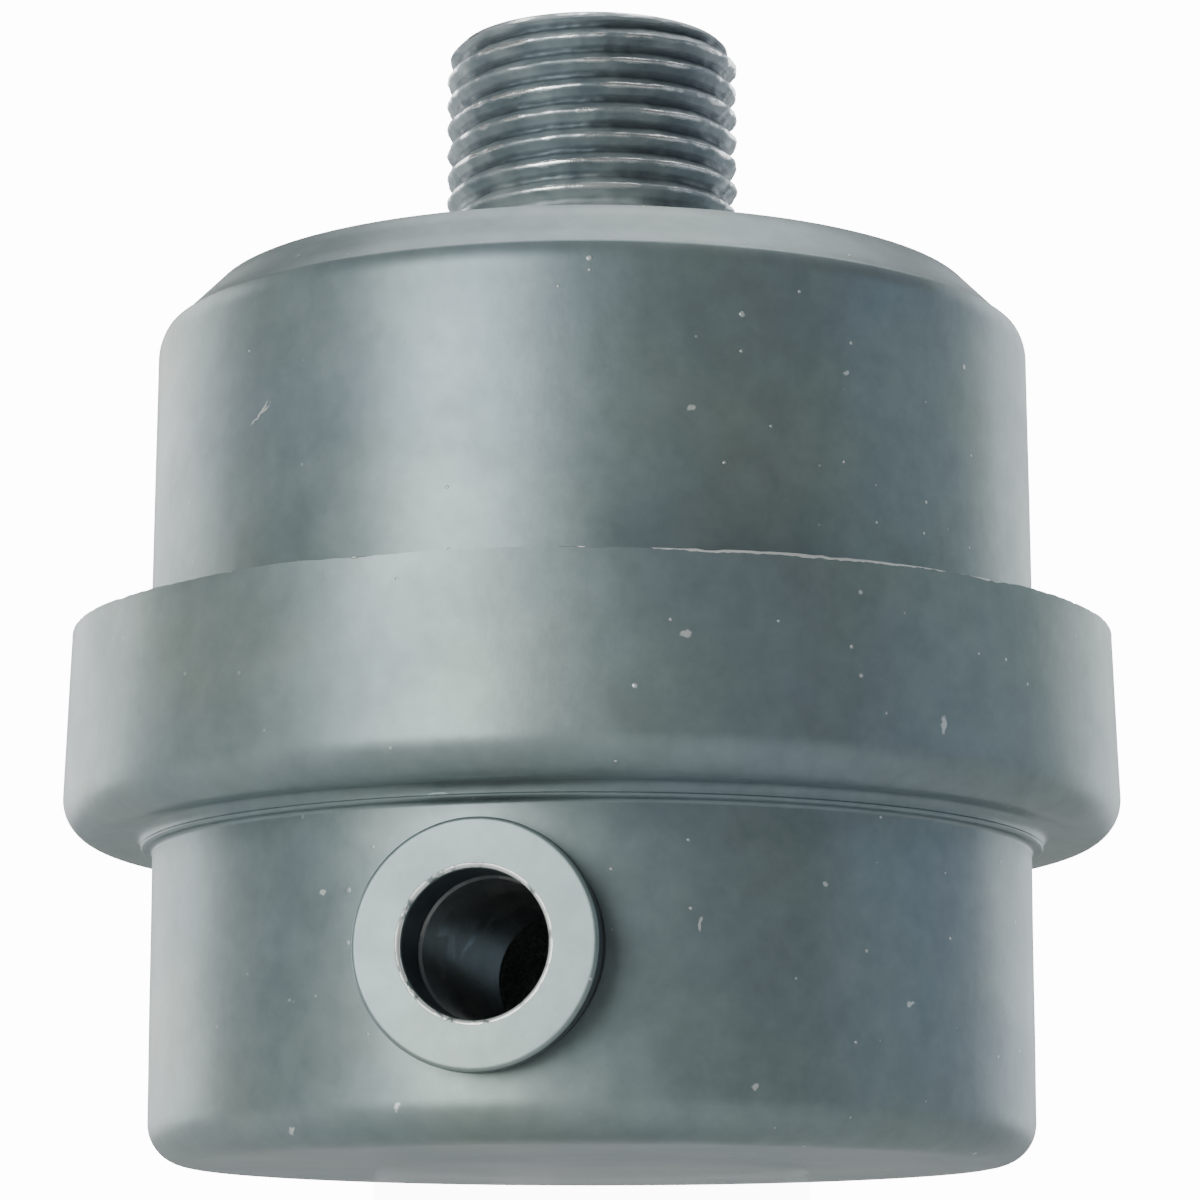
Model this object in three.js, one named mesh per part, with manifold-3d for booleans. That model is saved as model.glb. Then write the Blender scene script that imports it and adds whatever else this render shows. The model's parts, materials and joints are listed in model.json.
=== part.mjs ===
// Compressor intake silencer: a drawn-steel canister with a side inlet, a threaded outlet nipple,
// and a pleated filter cartridge between two felt-lined chambers.
// Millimetres, +Z up through the nipple, origin at the centre of the base, inlet towards -Y.

import * as THREE from 'three';
import { mergeVertices } from 'three/addons/utils/BufferGeometryUtils.js';
import Module from 'manifold-3d';

const wasm = await Module();
wasm.setup();

// Driving dimensions
const HEIGHT = 80; // base to the end of the nipple
const SHEET = 1; // steel sheet of both shells
const GAP = 0.25; // clearance between pieces that rest on or fit in each other
const SEGMENTS = 40; // facets round the canister's axis
const SMALL_SEGMENTS = 32; // facets round the nipple and the inlet
const OVERRUN = 1; // how far a cutting tool runs past what it cuts

const LOWER_RADIUS = 30.6;
const BASE_CORNER = 2.8;
const WAIST_Z = 21.4; // where the wall turns out under the collar
const WAIST_FILLET = 0.8;
const UNDERSIDE_SLOPE = 18; // degrees, of the collar's underside
const COLLAR_RADIUS = 36.8;
const COLLAR_CORNER = 2.9;
const COLLAR_CORNER_Z = 25; // where the collar's wall becomes upright
const COLLAR_TOP = 36.6;
const COLLAR_TAPER = 0.4; // how much narrower the rim is

const UPPER_RADIUS = 31;
const UPPER_TAPER = 0.2;
const RIM_FLANGE_RADIUS = 35.2;
const RIM_FLANGE_Z = 28.2; // top of the cover's turned-out rim
const RIM_FILLET = 1.4;
const SHOULDER_Z = 56.3; // where the wall's rounded top begins
const SHOULDER_RADIUS = 2.6;
const BEVEL_SLOPE = 44; // degrees, of the bevel above the shoulder
const CROWN_OUTER = { r: 27, z: 61.1 }; // where the bevel meets the shallow crown
const CROWN_INNER = { r: 16, z: 63.5 };
const LAND_RADIUS = 14.6; // flat land round the nipple
const LAND_Z = 64;

// Outlet nipple, a G1/2 parallel pipe thread
const THREAD_RADIUS = 20.955 / 2;
const THREAD_PITCH = 1.814;
const THREAD_DEPTH = 1.162;
const THREAD_START_Z = 64.3;
// Depth below the crest at fractions of a pitch above the middle of a root
const THREAD_FORM = [
  { at: 0, depth: THREAD_DEPTH },
  { at: 0.14, depth: THREAD_DEPTH },
  { at: 0.5, depth: 0 },
  { at: 0.64, depth: 0 },
];
const NIPPLE_BORE = 7.25;
const NIPPLE_FLANGE_RADIUS = 14;
const NIPPLE_FLANGE = 1.25;
const END_CHAMFER = 0.9;
const WELD = 1; // leg of the weld round the nipple's root

// Inlet
const INLET_Z = 12.2;
const INLET_BEARING = 13; // degrees from -Y towards -X
const INLET_FACE = 32.8; // distance of the flange's face from the canister's axis
const INLET_FLANGE_RADIUS = 8;
const INLET_FLANGE = 1.3;
const INLET_BORE = 4.75;
const NECK_RADIUS = 6.2;
const NECK_END = 26; // distance of the neck's inner end from the axis
const TUBE_RADIUS = 5.25;
const TUBE_BORE = 4.6;
const TUBE_SOCKET = 2.5; // length of the tube's socket in the neck
const TUBE_END = 8; // distance of the tube's inner end from the axis

// Filter cartridge
const BAFFLE_RADIUS = 34.2;
const BAFFLE_Z = 23.45;
const BAFFLE = 0.8;
const CARTRIDGE_TOP = 56;
const CORE_RADIUS = 15;
const CORE_WALL = 0.7;
const PLEAT_INNER = 15.9;
const PLEAT_OUTER = 24.4;
const PLEATS = 36;
const PAPER = 0.5;
const SEAL_FLANGE = 2.4;
const CAP_SHEET = 0.8;
const CAP_RADIUS = 26.1;
const POTTING = 1.1;

const FELT = 2.4;

// Heights that follow from the ones above
const sealBottom = BAFFLE_Z + BAFFLE + GAP;
const sealTop = sealBottom + SEAL_FLANGE;
const paperBottom = sealTop + GAP;
const pottingTop = CARTRIDGE_TOP - CAP_SHEET - GAP;
const paperTop = pottingTop - POTTING - GAP;
const nippleFlangeTop = LAND_Z - SHEET - GAP;
const nippleFlangeBottom = nippleFlangeTop - NIPPLE_FLANGE;

const rad = THREE.MathUtils.degToRad;

function point(r, z) {
  return new THREE.Vector2(r, z);
}

// Points on an arc round (r, z), with its angles in degrees anticlockwise from +r.
function arc(r, z, radius, from, to, steps) {
  const points = [];
  for (let i = 0; i <= steps; i += 1) {
    const angle = rad(from + ((to - from) * i) / steps);
    points.push(point(r + radius * Math.cos(angle), z + radius * Math.sin(angle)));
  }
  return points;
}

function leftNormal(a, b) {
  const along = b.clone().sub(a).normalize();
  return point(-along.y, along.x);
}

// A line moved to its left by a distance, with mitred corners. A closed line also joins its ends.
function offsetLine(line, distance, closed = false) {
  const last = line.length - 1;
  return line.map((here, i) => {
    const before = line[i === 0 && closed ? last : i - 1];
    const after = line[i === last && closed ? 0 : i + 1];
    const first = before ? leftNormal(before, here) : leftNormal(here, after);
    const second = after ? leftNormal(here, after) : first;
    const mitre = first.clone().add(second).multiplyScalar(distance / (1 + first.dot(second)));
    return here.clone().add(mitre);
  });
}

// The section of a sheet whose outer surface follows a line and whose inner surface lies to its left.
function sheetSection(line, thickness) {
  return [...line, ...offsetLine(line, thickness).reverse()];
}

// A section revolved round Z. A section that ends off the axis is closed on itself.
function revolve(section, segments = SEGMENTS) {
  const onAxis = section[0].x < 1e-6;
  const outline = onAxis ? section : [...section, section[0]];
  return new THREE.LatheGeometry(outline, segments).rotateX(Math.PI / 2);
}

// A plain ring or, with no inner radius, a disc.
function ring(inner, outer, bottom, top, segments = SEGMENTS) {
  const section = [point(inner, bottom), point(outer, bottom), point(outer, top), point(inner, top)];
  return revolve(section, segments);
}

function toSolid(geometry) {
  const bare = geometry.clone();
  bare.deleteAttribute('normal');
  bare.deleteAttribute('uv');
  const merged = mergeVertices(bare, 1e-4);
  const corners = merged.index.array;
  const kept = [];
  for (let i = 0; i < corners.length; i += 3) {
    const [a, b, c] = corners.slice(i, i + 3);
    if (a !== b && b !== c && c !== a) {
      kept.push(a, b, c);
    }
  }
  const vertProperties = merged.attributes.position.array;
  return new wasm.Manifold(new wasm.Mesh({ numProp: 3, vertProperties, triVerts: new Uint32Array(kept) }));
}

function toGeometry(solid) {
  const mesh = solid.getMesh();
  const geometry = new THREE.BufferGeometry();
  geometry.setAttribute('position', new THREE.BufferAttribute(mesh.vertProperties, 3));
  geometry.setIndex(new THREE.BufferAttribute(mesh.triVerts, 1));
  geometry.computeVertexNormals();
  return geometry;
}

function cut(body, ...tools) {
  return toGeometry(tools.reduce((solid, tool) => solid.subtract(toSolid(tool)), toSolid(body)));
}

function join(...bodies) {
  return toGeometry(bodies.map(toSolid).reduce((all, body) => all.add(body)));
}

// A cylinder along the inlet's axis, between two distances from the canister's axis.
function inletCylinder(radius, from, to) {
  const cylinder = ring(0, radius, from, to, SMALL_SEGMENTS);
  return cylinder.applyMatrix4(inletPlacement());
}

function inletPlacement() {
  const placement = new THREE.Matrix4().makeRotationZ(-rad(INLET_BEARING));
  placement.multiply(new THREE.Matrix4().makeTranslation(0, 0, INLET_Z));
  return placement.multiply(new THREE.Matrix4().makeRotationX(Math.PI / 2));
}

// Lower case

function lowerShell() {
  const line = [
    point(0, 0),
    ...arc(LOWER_RADIUS - BASE_CORNER, BASE_CORNER, BASE_CORNER, -90, 0, 4),
    ...arc(LOWER_RADIUS + WAIST_FILLET, WAIST_Z, WAIST_FILLET, 180, 90 + UNDERSIDE_SLOPE, 2),
    ...arc(COLLAR_RADIUS - COLLAR_CORNER, COLLAR_CORNER_Z, COLLAR_CORNER, UNDERSIDE_SLOPE - 90, 0, 4),
    point(COLLAR_RADIUS - COLLAR_TAPER, COLLAR_TOP),
  ];
  const hole = inletCylinder(NECK_RADIUS + GAP, NECK_END, INLET_FACE);
  return cut(revolve(sheetSection(line, SHEET)), hole);
}

// Inlet pieces are revolved round Z and then turned so that +Z points out through the inlet.
function inletBush() {
  const flangeBack = INLET_FACE - INLET_FLANGE;
  const edge = 0.35;
  const section = [
    point(INLET_BORE, NECK_END + TUBE_SOCKET),
    point(TUBE_RADIUS + GAP, NECK_END + TUBE_SOCKET),
    point(TUBE_RADIUS + GAP, NECK_END),
    point(NECK_RADIUS, NECK_END),
    point(NECK_RADIUS, flangeBack),
    point(INLET_FLANGE_RADIUS, flangeBack),
    point(INLET_FLANGE_RADIUS, INLET_FACE - edge),
    point(INLET_FLANGE_RADIUS - edge, INLET_FACE),
    point(INLET_BORE + edge, INLET_FACE),
    point(INLET_BORE, INLET_FACE - edge),
  ];
  return revolve(section, SMALL_SEGMENTS);
}

// Flat where it meets the flange and hollowed to the canister's wall behind.
function inletGasket() {
  const inner = NECK_RADIUS + 2 * GAP;
  const outer = INLET_FLANGE_RADIUS - GAP;
  const front = INLET_FACE - INLET_FLANGE - GAP;
  const blank = ring(inner, outer, front - outer, front, SMALL_SEGMENTS);
  const wall = new THREE.CylinderGeometry(LOWER_RADIUS + GAP, LOWER_RADIUS + GAP, LOWER_RADIUS, SEGMENTS);
  return cut(blank, wall);
}

function inletRetainingRing() {
  const reach = LOWER_RADIUS - SHEET;
  const outer = INLET_FLANGE_RADIUS;
  const seat = Math.sqrt(reach ** 2 - outer ** 2) - GAP;
  return ring(NECK_RADIUS + GAP, outer, seat - CAP_SHEET, seat, SMALL_SEGMENTS);
}

function inletTube() {
  const socketEnd = NECK_END + TUBE_SOCKET - GAP;
  return ring(TUBE_BORE, TUBE_RADIUS, TUBE_END, socketEnd, SMALL_SEGMENTS);
}

// Lies on the flat of the base, inside the corner radius.
function lowerFeltPad() {
  const bottom = SHEET + GAP;
  const radius = LOWER_RADIUS - BASE_CORNER - SHEET;
  return ring(0, radius, bottom, bottom + FELT);
}

// Lines the wall of the lower chamber and leaves the inlet's surroundings open.
function lowerFeltLiner() {
  const outer = LOWER_RADIUS - SHEET - GAP;
  const sleeve = ring(outer - FELT, outer, SHEET + FELT + 3 * GAP, WAIST_Z - GAP);
  const opening = inletCylinder(INLET_FLANGE_RADIUS + 2 * GAP, TUBE_END, INLET_FACE);
  return cut(sleeve, opening);
}

function circlePath(x, y, radius, sides) {
  const path = new THREE.Path();
  for (let i = 0; i < sides; i += 1) {
    const angle = (2 * Math.PI * i) / sides;
    const corner = point(x + radius * Math.cos(angle), y + radius * Math.sin(angle));
    if (i === 0) {
      path.moveTo(corner.x, corner.y);
    } else {
      path.lineTo(corner.x, corner.y);
    }
  }
  path.closePath();
  return path;
}

// A centre hole and rings of 6 and 12 under the open end of the cartridge's core.
function bafflePlate() {
  const holeRadius = 1.6;
  const holeSides = 10;
  const ringStep = 5;
  const shape = new THREE.Shape(circlePath(0, 0, BAFFLE_RADIUS, SEGMENTS).getPoints());
  shape.holes.push(circlePath(0, 0, holeRadius, holeSides));
  for (let row = 1; row <= 2; row += 1) {
    const count = 6 * row;
    for (let i = 0; i < count; i += 1) {
      const angle = (2 * Math.PI * i) / count;
      const [x, y] = [ringStep * row * Math.cos(angle), ringStep * row * Math.sin(angle)];
      shape.holes.push(circlePath(x, y, holeRadius, holeSides));
    }
  }
  const plate = new THREE.ExtrudeGeometry(shape, { depth: BAFFLE, bevelEnabled: false });
  return plate.translate(0, 0, BAFFLE_Z);
}

// Cover

function upperShell() {
  const bevelEnd = 90 - BEVEL_SLOPE;
  const line = [
    point(RIM_FLANGE_RADIUS, RIM_FLANGE_Z),
    ...arc(UPPER_RADIUS + RIM_FILLET, RIM_FLANGE_Z + RIM_FILLET, RIM_FILLET, -90, -180, 2),
    ...arc(UPPER_RADIUS - UPPER_TAPER - SHOULDER_RADIUS, SHOULDER_Z, SHOULDER_RADIUS, 0, bevelEnd, 3),
    point(CROWN_OUTER.r, CROWN_OUTER.z),
    point(CROWN_INNER.r, CROWN_INNER.z),
    point(LAND_RADIUS, LAND_Z),
    point(THREAD_RADIUS + GAP, LAND_Z),
  ];
  return revolve(sheetSection(line, SHEET));
}

function jointSealRing() {
  const inner = UPPER_RADIUS + GAP;
  const outer = COLLAR_RADIUS - COLLAR_TAPER - SHEET - GAP;
  const bottom = RIM_FLANGE_Z + GAP;
  const recess = 0.4;
  const top = COLLAR_TOP - recess;
  const edge = 0.8;
  const section = [
    point(inner + RIM_FILLET, bottom),
    point(outer, bottom),
    point(outer, top - edge),
    point(outer - edge, top),
    point(inner + edge, top),
    point(inner, top - edge),
    point(inner, bottom + RIM_FILLET),
  ];
  return revolve(section);
}

// A right-hand helical thread, longer than the nipple at both ends, round a solid core.
function threadBlank(bottom, top) {
  const turns = Math.ceil((top - bottom) / THREAD_PITCH) + 1;
  const rows = turns * THREAD_FORM.length;
  const vertices = [];
  const index = [];
  const corner = (side, row) => {
    const wrapped = side === SMALL_SEGMENTS ? row + THREAD_FORM.length : row;
    return wrapped * SMALL_SEGMENTS + (side % SMALL_SEGMENTS);
  };
  for (let row = 0; row <= rows + THREAD_FORM.length; row += 1) {
    const form = THREAD_FORM[row % THREAD_FORM.length];
    const turn = Math.floor(row / THREAD_FORM.length);
    for (let side = 0; side < SMALL_SEGMENTS; side += 1) {
      const part = side / SMALL_SEGMENTS;
      const radius = THREAD_RADIUS - form.depth;
      const z = bottom + THREAD_PITCH * (turn + form.at + part - 1);
      vertices.push(radius * Math.cos(2 * Math.PI * part), radius * Math.sin(2 * Math.PI * part), z);
    }
  }
  for (let row = 0; row < rows; row += 1) {
    for (let side = 0; side < SMALL_SEGMENTS; side += 1) {
      const [a, b] = [corner(side, row), corner(side + 1, row)];
      const [c, d] = [corner(side + 1, row + 1), corner(side, row + 1)];
      index.push(a, b, c, a, c, d);
    }
  }
  capThread(0, -THREAD_PITCH, false);
  capThread(rows, THREAD_PITCH, true);

  // Closes one end with a fan from a point on the axis beyond it.
  function capThread(row, beyond, upwards) {
    const centre = vertices.length / 3;
    const rim = [];
    for (let side = 0; side < SMALL_SEGMENTS; side += 1) {
      rim.push(corner(side, row));
    }
    for (let step = THREAD_FORM.length; step > 0; step -= 1) {
      rim.push(corner(0, row + step));
    }
    const level = bottom + THREAD_PITCH * (row / THREAD_FORM.length) + beyond;
    vertices.push(0, 0, level);
    rim.forEach((here, i) => {
      const next = rim[(i + 1) % rim.length];
      index.push(centre, upwards ? here : next, upwards ? next : here);
    });
  }

  const geometry = new THREE.BufferGeometry();
  geometry.setAttribute('position', new THREE.Float32BufferAttribute(vertices, 3));
  geometry.setIndex(index);
  return geometry;
}

function threadedNipple() {
  const threads = toSolid(threadBlank(THREAD_START_Z - THREAD_PITCH, HEIGHT + THREAD_PITCH));
  const envelope = toSolid(revolve([
    point(0, THREAD_START_Z - END_CHAMFER),
    point(THREAD_RADIUS + GAP, THREAD_START_Z - END_CHAMFER),
    point(THREAD_RADIUS + GAP, HEIGHT - END_CHAMFER - GAP),
    point(THREAD_RADIUS - END_CHAMFER, HEIGHT),
    point(0, HEIGHT),
  ], SMALL_SEGMENTS));
  const root = toSolid(revolve([
    point(0, nippleFlangeBottom),
    point(NIPPLE_FLANGE_RADIUS, nippleFlangeBottom),
    point(NIPPLE_FLANGE_RADIUS, nippleFlangeTop),
    point(THREAD_RADIUS, nippleFlangeTop),
    point(THREAD_RADIUS, THREAD_START_Z),
    point(THREAD_RADIUS - THREAD_DEPTH, THREAD_START_Z + THREAD_DEPTH),
    point(0, THREAD_START_Z + THREAD_DEPTH),
  ], SMALL_SEGMENTS));
  const bore = ring(0, NIPPLE_BORE, nippleFlangeBottom - OVERRUN, HEIGHT + OVERRUN, SMALL_SEGMENTS);
  return toGeometry(threads.intersect(envelope).add(root).subtract(toSolid(bore)));
}

function nippleWeldRing() {
  const inner = THREAD_RADIUS + GAP;
  const bottom = LAND_Z + GAP / 2;
  const section = [point(inner, bottom), ...arc(inner, bottom, WELD, 0, 90, 3)];
  return revolve(section, SMALL_SEGMENTS);
}

// A flat ring with three bent legs whose feet press on the cartridge's cap.
function holdDownSpider() {
  const sheet = 0.7;
  const legWidth = 6;
  const footLength = 3;
  const legSpread = 4;
  const overlap = 1.5;
  const top = nippleFlangeBottom - GAP;
  const footTop = CARTRIDGE_TOP + GAP + sheet;
  const heel = NIPPLE_FLANGE_RADIUS + legSpread;
  const plate = ring(NIPPLE_BORE + sheet, NIPPLE_FLANGE_RADIUS, top - sheet, top, SMALL_SEGMENTS);
  const legLine = [
    point(heel + footLength, footTop),
    point(heel, footTop),
    point(NIPPLE_FLANGE_RADIUS, top),
    point(NIPPLE_FLANGE_RADIUS - overlap, top),
  ];
  const section = new THREE.Shape(sheetSection(legLine, sheet));
  const legs = [0, 120, 240].map((bearing) => {
    const leg = new THREE.ExtrudeGeometry(section, { depth: legWidth, bevelEnabled: false });
    return leg.translate(0, 0, -legWidth / 2).rotateX(Math.PI / 2).rotateZ(rad(bearing + 90));
  });
  return join(plate, ...legs);
}

function upperFeltLiner() {
  const outer = UPPER_RADIUS - UPPER_TAPER - SHEET - GAP;
  return ring(outer - FELT, outer, RIM_FLANGE_Z + RIM_FILLET, SHOULDER_Z - GAP);
}

// Filter cartridge

function elementSealFlange() {
  const inner = CORE_RADIUS - CORE_WALL - GAP;
  const outer = COLLAR_RADIUS - COLLAR_TAPER - SHEET - 2 * GAP;
  const lip = PLEAT_OUTER + PAPER + GAP;
  const lipHeight = 1.8;
  const lipWidth = 1;
  const section = [
    point(inner, sealBottom),
    point(outer, sealBottom),
    point(outer, sealTop),
    point(lip + lipHeight, sealTop),
    point(lip + lipWidth, sealTop + lipHeight),
    point(lip, sealTop + lipHeight),
    point(lip, sealTop),
    point(inner, sealTop),
  ];
  return revolve(section);
}

// Four rows of holes, drilled right through the tube along four diameters.
function elementInnerCore() {
  const holeRadius = 2.2;
  const holeSides = 8;
  const rows = 4;
  const bearings = 4;
  const drillLength = 2 * (CORE_RADIUS + OVERRUN);
  const tube = ring(CORE_RADIUS - CORE_WALL, CORE_RADIUS, paperBottom, paperTop);
  const drills = [];
  for (let row = 0; row < rows; row += 1) {
    for (let i = 0; i < bearings; i += 1) {
      const drill = new THREE.CylinderGeometry(holeRadius, holeRadius, drillLength, holeSides);
      const stagger = row % 2 === 0 ? 0 : 0.5;
      drill.rotateZ(rad((180 * (i + stagger)) / bearings));
      drill.translate(0, 0, paperBottom + ((row + 0.5) * (paperTop - paperBottom)) / rows);
      drills.push(drill);
    }
  }
  return cut(tube, ...drills);
}

// One folded sheet, with a narrow flat at every fold.
function elementPleatedPaper() {
  const half = Math.PI / PLEATS;
  const outerFold = 0.2 * half;
  const innerFold = 0.22 * half;
  const line = [];
  for (let i = 0; i < PLEATS; i += 1) {
    const peak = 2 * half * i;
    const valley = peak + half;
    [[PLEAT_OUTER, peak - outerFold], [PLEAT_OUTER, peak + outerFold],
      [PLEAT_INNER, valley - innerFold], [PLEAT_INNER, valley + innerFold],
    ].forEach(([r, angle]) => line.push(point(r * Math.cos(angle), r * Math.sin(angle))));
  }
  const shape = new THREE.Shape(offsetLine(line, -PAPER / 2, true));
  shape.holes.push(new THREE.Path(offsetLine(line, PAPER / 2, true)));
  const depth = paperTop - paperBottom;
  const sheet = new THREE.ExtrudeGeometry(shape, { depth, bevelEnabled: false });
  return sheet.translate(0, 0, paperBottom);
}

function elementPottingRing() {
  const outer = CAP_RADIUS - CAP_SHEET - GAP;
  return ring(CORE_RADIUS - CORE_WALL, outer, pottingTop - POTTING, pottingTop);
}

// A pressed cap with a dished centre and a turned-down rim.
function elementTopCap() {
  const dish = 1.2;
  const dishRadius = 11.5;
  const rimDrop = 4.2;
  const corner = 1;
  const line = [
    point(CAP_RADIUS, CARTRIDGE_TOP - rimDrop),
    ...arc(CAP_RADIUS - corner, CARTRIDGE_TOP - corner, corner, 0, 90, 2),
    point(dishRadius + dish, CARTRIDGE_TOP),
    point(dishRadius, CARTRIDGE_TOP - dish),
    point(0, CARTRIDGE_TOP - dish),
  ];
  return revolve(sheetSection(line, CAP_SHEET));
}

// Assembly

const PAINT = { color: 0x9aa6a6, roughness: 0.45, metalness: 0.3 };
const ZINC = { color: 0xa8adad, roughness: 0.4, metalness: 0.9 };
const BLACK_RUBBER = { color: 0x1d1f20, roughness: 0.85, metalness: 0 };
const FELT_GREY = { color: 0xb9b3a4, roughness: 0.95, metalness: 0 };
const PAPER_TAN = { color: 0xd9c79a, roughness: 0.9, metalness: 0 };
const SEAL_ORANGE = { color: 0xb5652c, roughness: 0.7, metalness: 0 };
const POTTING_WHITE = { color: 0xd8d6cc, roughness: 0.6, metalness: 0 };

function piece(name, geometry, finish) {
  const mesh = new THREE.Mesh(geometry, new THREE.MeshStandardMaterial(finish));
  mesh.name = name;
  return mesh;
}

function group(...members) {
  const parent = new THREE.Group();
  parent.add(...members);
  return parent;
}

const inlet = group(
  piece('inlet_bush', inletBush(), PAINT),
  piece('inlet_gasket', inletGasket(), BLACK_RUBBER),
  piece('inlet_retaining_ring', inletRetainingRing(), ZINC),
  piece('inlet_tube', inletTube(), ZINC),
);
inlet.applyMatrix4(inletPlacement());

const lowerCase = group(
  piece('lower_shell', lowerShell(), PAINT),
  inlet,
  piece('lower_felt_pad', lowerFeltPad(), FELT_GREY),
  piece('lower_felt_liner', lowerFeltLiner(), FELT_GREY),
  piece('baffle_plate', bafflePlate(), ZINC),
);

const cover = group(
  piece('upper_shell', upperShell(), PAINT),
  piece('joint_seal_ring', jointSealRing(), BLACK_RUBBER),
  piece('threaded_nipple', threadedNipple(), ZINC),
  piece('nipple_weld_ring', nippleWeldRing(), PAINT),
  piece('hold_down_spider', holdDownSpider(), ZINC),
  piece('upper_felt_liner', upperFeltLiner(), FELT_GREY),
);

const cartridge = group(
  piece('element_seal_flange', elementSealFlange(), SEAL_ORANGE),
  piece('element_inner_core', elementInnerCore(), ZINC),
  piece('element_pleated_paper', elementPleatedPaper(), PAPER_TAN),
  piece('element_potting_ring', elementPottingRing(), POTTING_WHITE),
  piece('element_top_cap', elementTopCap(), ZINC),
);

export default group(lowerCase, cover, cartridge);
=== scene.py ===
import json
import math

import bmesh
import bpy
from mathutils import Matrix, Vector, noise


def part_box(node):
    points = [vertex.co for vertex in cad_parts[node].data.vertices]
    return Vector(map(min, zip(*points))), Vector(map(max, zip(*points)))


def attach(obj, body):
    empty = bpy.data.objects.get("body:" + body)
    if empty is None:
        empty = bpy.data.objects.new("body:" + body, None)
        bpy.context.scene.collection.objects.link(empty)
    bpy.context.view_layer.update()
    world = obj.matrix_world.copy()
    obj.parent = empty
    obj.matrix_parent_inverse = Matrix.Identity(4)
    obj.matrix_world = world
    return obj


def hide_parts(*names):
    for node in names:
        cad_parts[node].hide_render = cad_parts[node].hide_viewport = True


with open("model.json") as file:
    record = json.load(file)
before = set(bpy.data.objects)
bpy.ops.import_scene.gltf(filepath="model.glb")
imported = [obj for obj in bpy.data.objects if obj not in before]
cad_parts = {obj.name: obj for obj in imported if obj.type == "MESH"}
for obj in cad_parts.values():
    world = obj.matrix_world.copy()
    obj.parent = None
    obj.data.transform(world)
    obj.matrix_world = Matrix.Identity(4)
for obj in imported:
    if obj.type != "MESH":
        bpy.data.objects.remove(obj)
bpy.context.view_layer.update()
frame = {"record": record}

RECORD = frame["record"]
BODY_OF = {node: body for body, nodes in RECORD["behaviour"]["bodies"].items() for node in nodes}

# Lengths are in millimetres until a point goes into a mesh or a material.
MM = 0.001


def corner(node, high):
    """The lowest or highest corner of a CAD node, in millimetres."""
    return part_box(node)[1 if high else 0] / MM


# Sizes read from the frame
COLLAR_RADIUS = corner("lower_shell", True).x
COLLAR_TOP = corner("lower_shell", True).z
RIM_FLANGE_RADIUS = corner("upper_shell", True).x
LAND_Z = corner("upper_shell", True).z
NIPPLE_TOP = corner("threaded_nipple", True).z
NIPPLE_BOTTOM = corner("threaded_nipple", False).z
NIPPLE_FLANGE_RADIUS = corner("threaded_nipple", True).x
WELD_BOTTOM = corner("nipple_weld_ring", False).z
WELD_RADIUS = corner("nipple_weld_ring", True).x
SEAL_BOTTOM = corner("joint_seal_ring", False).z
SEAL_TOP = corner("joint_seal_ring", True).z
SEAL_OUTER = corner("joint_seal_ring", True).x
BAFFLE_BOTTOM = corner("baffle_plate", False).z
BAFFLE_TOP = corner("baffle_plate", True).z
BAFFLE_RADIUS = corner("baffle_plate", True).x
FLANGE_BOTTOM = corner("element_seal_flange", False).z
LIP_TOP = corner("element_seal_flange", True).z
FLANGE_RADIUS = corner("element_seal_flange", True).x
PAPER_BOTTOM = corner("element_pleated_paper", False).z
PAPER_TOP = corner("element_pleated_paper", True).z
CORE_RADIUS = corner("element_inner_core", True).x
POTTING_BOTTOM = corner("element_potting_ring", False).z
POTTING_TOP = corner("element_potting_ring", True).z
POTTING_RADIUS = corner("element_potting_ring", True).x
CAP_TOP = corner("element_top_cap", True).z
CAP_BOTTOM = corner("element_top_cap", False).z
CAP_RADIUS = corner("element_top_cap", True).x
INLET_Z = (corner("inlet_bush", True).z + corner("inlet_bush", False).z) / 2
INLET_FLANGE_RADIUS = corner("inlet_bush", True).z - INLET_Z
INLET_AXIS = Vector(next(m["axis"] for m in RECORD["mounts"] if m["name"] == "inlet_face"))
INLET_POINT = Vector(next(m["pos_m"] for m in RECORD["mounts"] if m["name"] == "inlet_face")) / MM
INLET_FACE = INLET_POINT.dot(INLET_AXIS)

# Sizes of the drawn sheet's shape
SHEET = 1.0
GAP = 0.25
LOWER_RADIUS = 30.6
BASE_CORNER = 2.8
WAIST_Z = 21.4
UNDERSIDE_SLOPE = 18
COLLAR_CORNER = 2.9
COLLAR_CORNER_Z = 25.0
COLLAR_TAPER = 0.4
UPPER_RADIUS = 31.0
UPPER_TAPER = 0.2
RIM_FLANGE_Z = 28.2
RIM_FILLET = 1.4
CREASE = (30.2, 57.95)
SHOULDER_RADIUS = 3.0
SHOULDER_TURN = 30
SHOULDER_DROP = 1.6
CROWN_OUTER = (27.0, 61.1)
CROWN_INNER = (16.0, 63.5)
LAND_RADIUS = 14.6

# Thread, bush and cartridge details
THREAD_RADIUS = 20.955 / 2
THREAD_PITCH = 1.814
THREAD_SEEN_DEPTH = 0.75  # dirt and paint fill the roots
THREAD_START_Z = 64.3
THREAD_RUNOUT = 1.2
NIPPLE_BORE = 7.25
END_CHAMFER = 0.9
INLET_BORE = 4.75
INLET_FLANGE = 1.3
WORN_AND_LIT_BEARING = -68  # of the most worn part of the collar's rim, where a painted highlight runs along its edge, from +X
NECK_RADIUS = 6.2
NECK_END = 26.0
TUBE_RADIUS = 5.25
TUBE_BORE = 4.6
TUBE_SOCKET = 2.5
TUBE_END = 8.0
PLEATS = 36
PLEAT_INNER = 15.9
PLEAT_OUTER = 24.4
PAPER = 0.4
CORE_WALL = 0.7
CAP_SHEET = 0.8
SPIDER_SHEET = 0.7
FELT = 2.4
FELT_STEP = 0.8
ROUND = 256

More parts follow.
